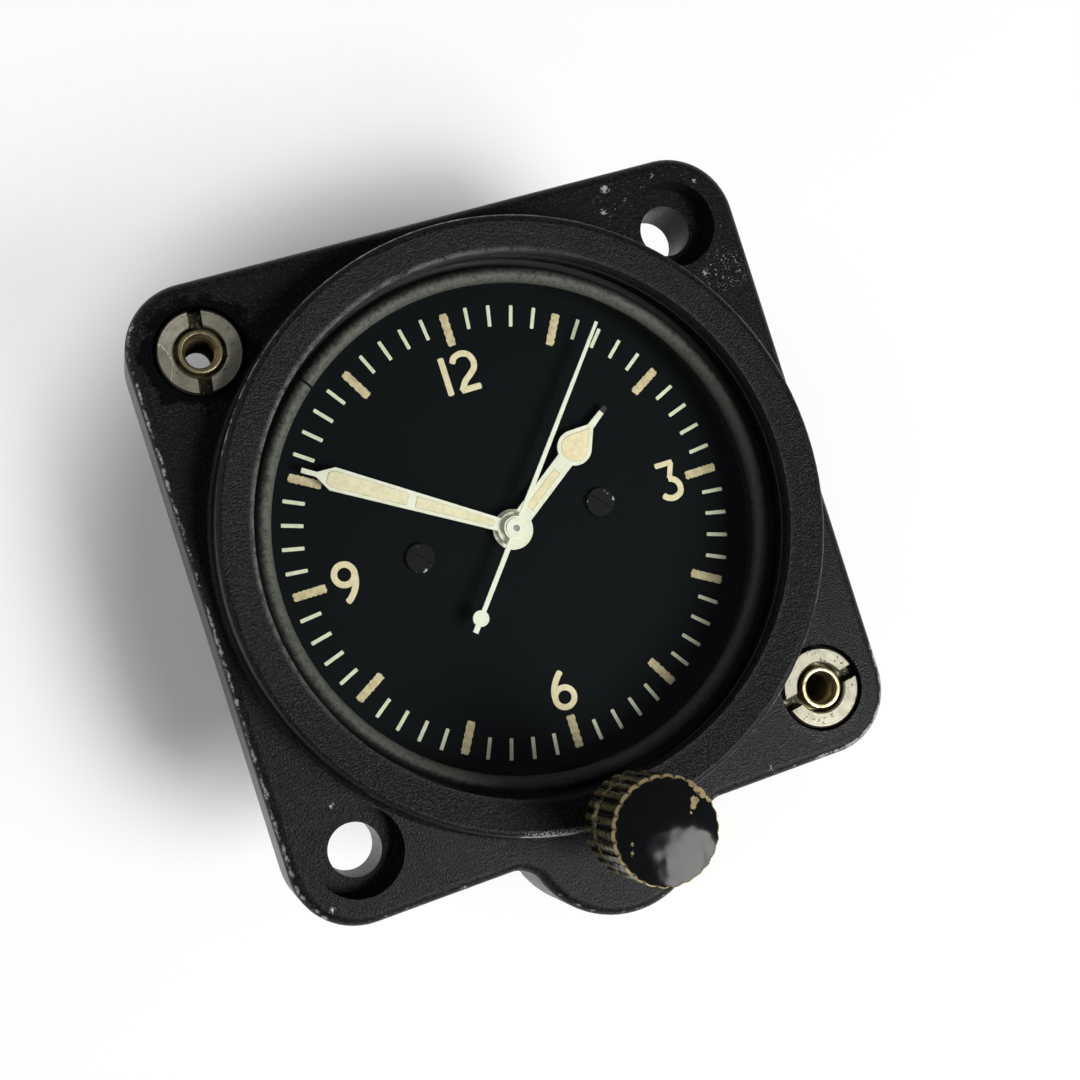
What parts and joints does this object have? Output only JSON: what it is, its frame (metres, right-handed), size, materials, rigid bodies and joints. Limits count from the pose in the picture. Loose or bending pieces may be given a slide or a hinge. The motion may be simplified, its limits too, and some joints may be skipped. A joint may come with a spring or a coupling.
{
  "type": "aircraft clock",
  "caption": "Panel-mounted mechanical clock with a square flange, round bezel, black dial, lumed hands, front winding knob and round rear can.",
  "frame": {"origin": "on the clock's axis, in the flange's front face, which meets the back of the panel", "axes": "+Z out of the dial, +Y to twelve o'clock, +X to three o'clock"},
  "size_m": [0.0604, 0.0678, 0.0493],
  "materials": {
    "black_paint": "satin, slightly grainy",
    "black_lacquer": "gloss, worn to brass at the edges",
    "dial_black": "matte",
    "hand_white": "satin",
    "ring_grey": "satin grey-green",
    "glass": "clear",
    "nickel": "dull nickel plate",
    "brass": "satin",
    "steel": "polished",
    "blued_steel": "blued",
    "ruby": "polished",
    "rubber": "matte"
  },
  "bodies": {
    "case": {"bezel_casting": "black_paint", "rear_case": "black_paint", "case_screws": "steel", "glass": "glass", "glass_gasket": "rubber", "dial_ring": "ring_grey", "dial": "dial_black", "dial_screws": "black_paint", "motion_ring": "brass", "captive_nut_rings": "nickel", "captive_nut_sleeves": "brass", "front_plate": "brass", "back_plate": "brass", "pillars": "brass", "pillar_screws": "blued_steel", "centre_bush": "brass", "jewels": "ruby", "minute_post": "steel", "setting_post": "steel", "transmission_post": "steel", "click_screw": "blued_steel", "click_spring": "blued_steel", "balance_cock": "brass", "cock_screw": "blued_steel", "hairspring": "blued_steel", "stem_bush": "brass", "stem_seal": "rubber", "yoke_pin": "steel"},
    "seconds": {"seconds_hand": "hand_white", "seconds_arbor": "steel", "fourth_wheel": "brass"},
    "third": {"third_arbor": "steel", "third_wheel": "brass"},
    "centre": {"centre_arbor": "steel", "centre_wheel": "brass", "cannon_pinion": "steel", "minute_hand": "hand_white"},
    "motion": {"minute_wheel": "brass"},
    "hour": {"hour_wheel": "brass", "hour_hand": "hand_white"},
    "setting": {"setting_wheel": "brass"},
    "escape": {"escape_arbor": "steel", "escape_wheel": "brass"},
    "lever": {"pallet_lever": "steel", "pallet_arbor": "steel", "pallet_stones": "ruby"},
    "balance": {"balance_wheel": "brass", "balance_staff": "steel"},
    "barrel": {"barrel": "brass", "barrel_cover": "brass", "mainspring": "blued_steel"},
    "winder": {"barrel_arbor": "steel", "ratchet_wheel": "steel"},
    "transmission": {"transmission_wheel": "steel"},
    "click": {"click": "steel"},
    "yoke": {"shift_yoke": "steel"},
    "knob": {"knob": "black_lacquer", "stem": "steel", "winding_pinion": "steel"}
  },
  "joints": [
    {"name": "seconds_turn", "type": "hinge", "parent": "case", "child": "seconds", "pos_m": [0, 0, -0.012], "axis": [0, 0, -1], "continuous": true},
    {"name": "third_turn", "type": "hinge", "parent": "case", "child": "third", "pos_m": [0.00689, 0.00579, -0.012], "axis": [0, 0, -1], "continuous": true},
    {"name": "centre_turn", "type": "hinge", "parent": "case", "child": "centre", "pos_m": [0, 0, -0.012], "axis": [0, 0, -1], "continuous": true},
    {"name": "minute_wheel_turn", "type": "hinge", "parent": "case", "child": "motion", "pos_m": [0.00179, -0.00573, -0.012], "axis": [0, 0, -1], "continuous": true},
    {"name": "hour_turn", "type": "hinge", "parent": "case", "child": "hour", "pos_m": [0, 0, -0.012], "axis": [0, 0, -1], "continuous": true},
    {"name": "setting_wheel_turn", "type": "hinge", "parent": "case", "child": "setting", "pos_m": [0, -0.01835, -0.012], "axis": [0, 0, -1], "continuous": true},
    {"name": "escape_turn", "type": "hinge", "parent": "case", "child": "escape", "pos_m": [-0.00562, 0.0067, -0.012], "axis": [0, 0, -1], "continuous": true},
    {"name": "barrel_turn", "type": "hinge", "parent": "case", "child": "barrel", "pos_m": [0, -0.0126, -0.012], "axis": [0, 0, -1], "continuous": true},
    {"name": "pallet_rock", "type": "hinge", "parent": "case", "child": "lever", "pos_m": [-0.01015, 0.0059, -0.012], "axis": [0, 0, -1], "range_deg": [-4, 4]},
    {"name": "balance_swing", "type": "hinge", "parent": "case", "child": "balance", "pos_m": [-0.01626, 0.00482, -0.012], "axis": [0, 0, -1], "range_deg": [-140, 140]},
    {"name": "click_lift", "type": "hinge", "parent": "case", "child": "click", "pos_m": [0.00853, -0.01605, -0.012], "axis": [0, 0, -1], "range_deg": [0, 8]},
    {"name": "knob_pull", "type": "slide", "parent": "case", "child": "yoke", "axis": [0, 0, 1], "range_m": [0, 0.002]},
    {"name": "knob_turn", "type": "hinge", "parent": "yoke", "child": "knob", "pos_m": [0, -0.0286, -0.012], "axis": [0, 0, -1], "continuous": true},
    {"name": "transmission_turn", "type": "hinge", "parent": "case", "child": "transmission", "pos_m": [0, -0.0214, -0.012], "axis": [0, 0, -1], "continuous": true},
    {"name": "ratchet_turn", "type": "hinge", "parent": "case", "child": "winder", "pos_m": [0, -0.0126, -0.012], "axis": [0, 0, -1], "continuous": true}
  ],
  "couplings": [
    {"joint": "third_turn", "follows": "seconds_turn", "ratio": -0.13333},
    {"joint": "centre_turn", "follows": "seconds_turn", "ratio": 0.016667},
    {"joint": "minute_wheel_turn", "follows": "seconds_turn", "ratio": -0.0055556},
    {"joint": "hour_turn", "follows": "seconds_turn", "ratio": 0.0013889},
    {"joint": "setting_wheel_turn", "follows": "seconds_turn", "ratio": 0.0030303},
    {"joint": "escape_turn", "follows": "seconds_turn", "ratio": -10},
    {"joint": "barrel_turn", "follows": "seconds_turn", "ratio": -0.0027778},
    {"joint": "transmission_turn", "follows": "knob_turn", "ratio": -0.8},
    {"joint": "ratchet_turn", "follows": "knob_turn", "ratio": 0.66667}
  ]
}
